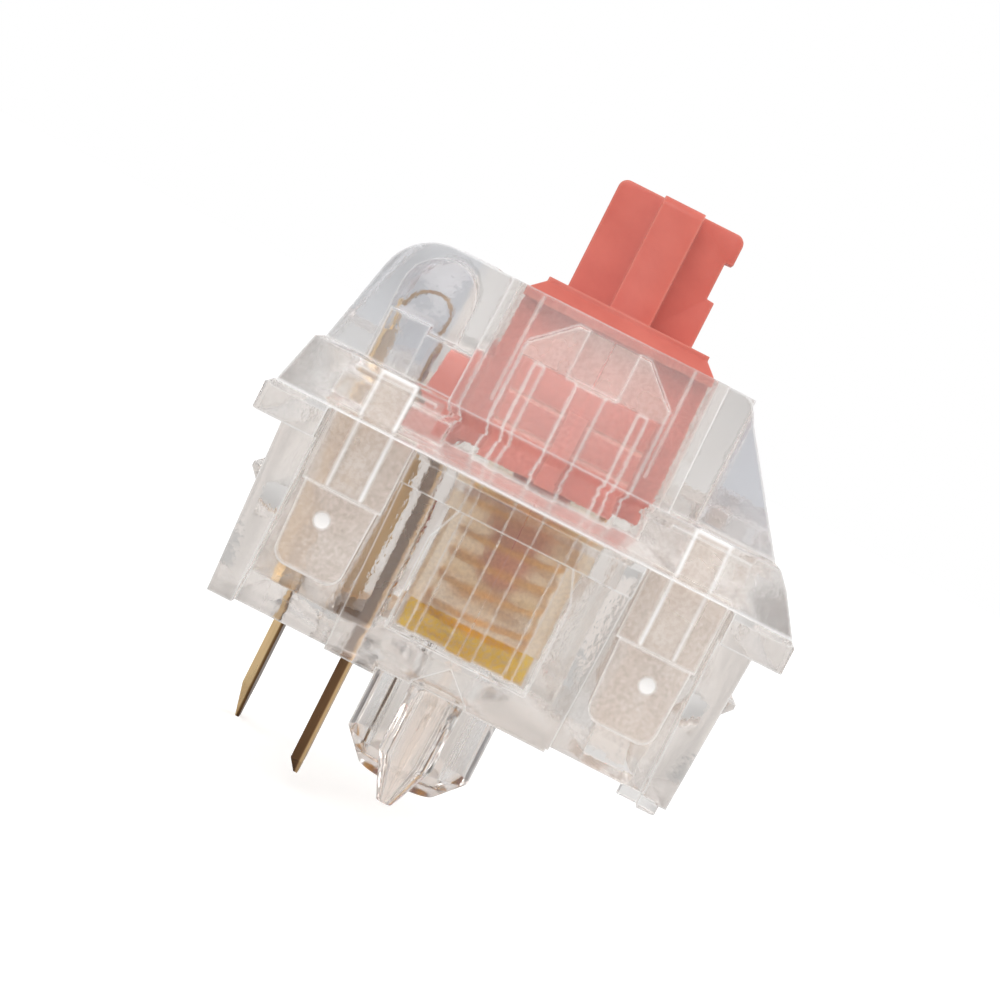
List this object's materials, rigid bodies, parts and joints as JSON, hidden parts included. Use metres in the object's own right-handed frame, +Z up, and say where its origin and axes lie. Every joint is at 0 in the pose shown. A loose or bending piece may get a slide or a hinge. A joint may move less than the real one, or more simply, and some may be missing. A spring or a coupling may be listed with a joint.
{
  "type": "cross-stem mechanical keyboard switch",
  "caption": "Linear push switch for a computer keyboard: clear clipped housing, sprung cross stem, cam-operated leaf contact, board and plate mounting.",
  "frame": {"origin": "stem axis at the circuit board surface, where the centre post leaves the housing foot", "axes": "+Z up along the stem towards the keycap, +X towards the lamp window, the two contact pins are on the -X side, the clip sides are -Y and +Y"},
  "size_m": [0.0156, 0.0156, 0.0197],
  "materials": {
    "clear_housing": "clear moulded polycarbonate with fine frosted faces",
    "coral_stem": "smooth acetal with a soft sheen",
    "gold_spring": "gold-plated spring wire",
    "contact_brass": "stamped copper alloy, lightly tarnished",
    "contact_gold": "gold contact points"
  },
  "bodies": {
    "housing": {"bottom_housing": "clear_housing", "top_housing": "clear_housing", "return_spring": "gold_spring", "static_contact": "contact_brass", "static_crosspoint": "contact_gold", "moving_contact_terminal": "contact_brass"},
    "plunger": {"stem": "coral_stem"},
    "leaf": {"contact_leaf": "contact_brass", "moving_crosspoint": "contact_gold"}
  },
  "joints": [
    {"name": "stem_travel", "type": "slide", "parent": "housing", "child": "plunger", "axis": [0, 0, -1], "range_m": [0, 0.004], "stiffness_N_per_m": 70, "springref_m": -0.005, "deforming": ["return_spring"]},
    {"name": "leaf_flex", "type": "hinge", "parent": "housing", "child": "leaf", "pos_m": [-0.00514, 0, 0.009], "axis": [0, -1, 0], "range_deg": [0, 7.5]}
  ],
  "couplings": [
    {"joint": "leaf_flex", "follows": "stem_travel", "rad_per_m": 32.7}
  ]
}
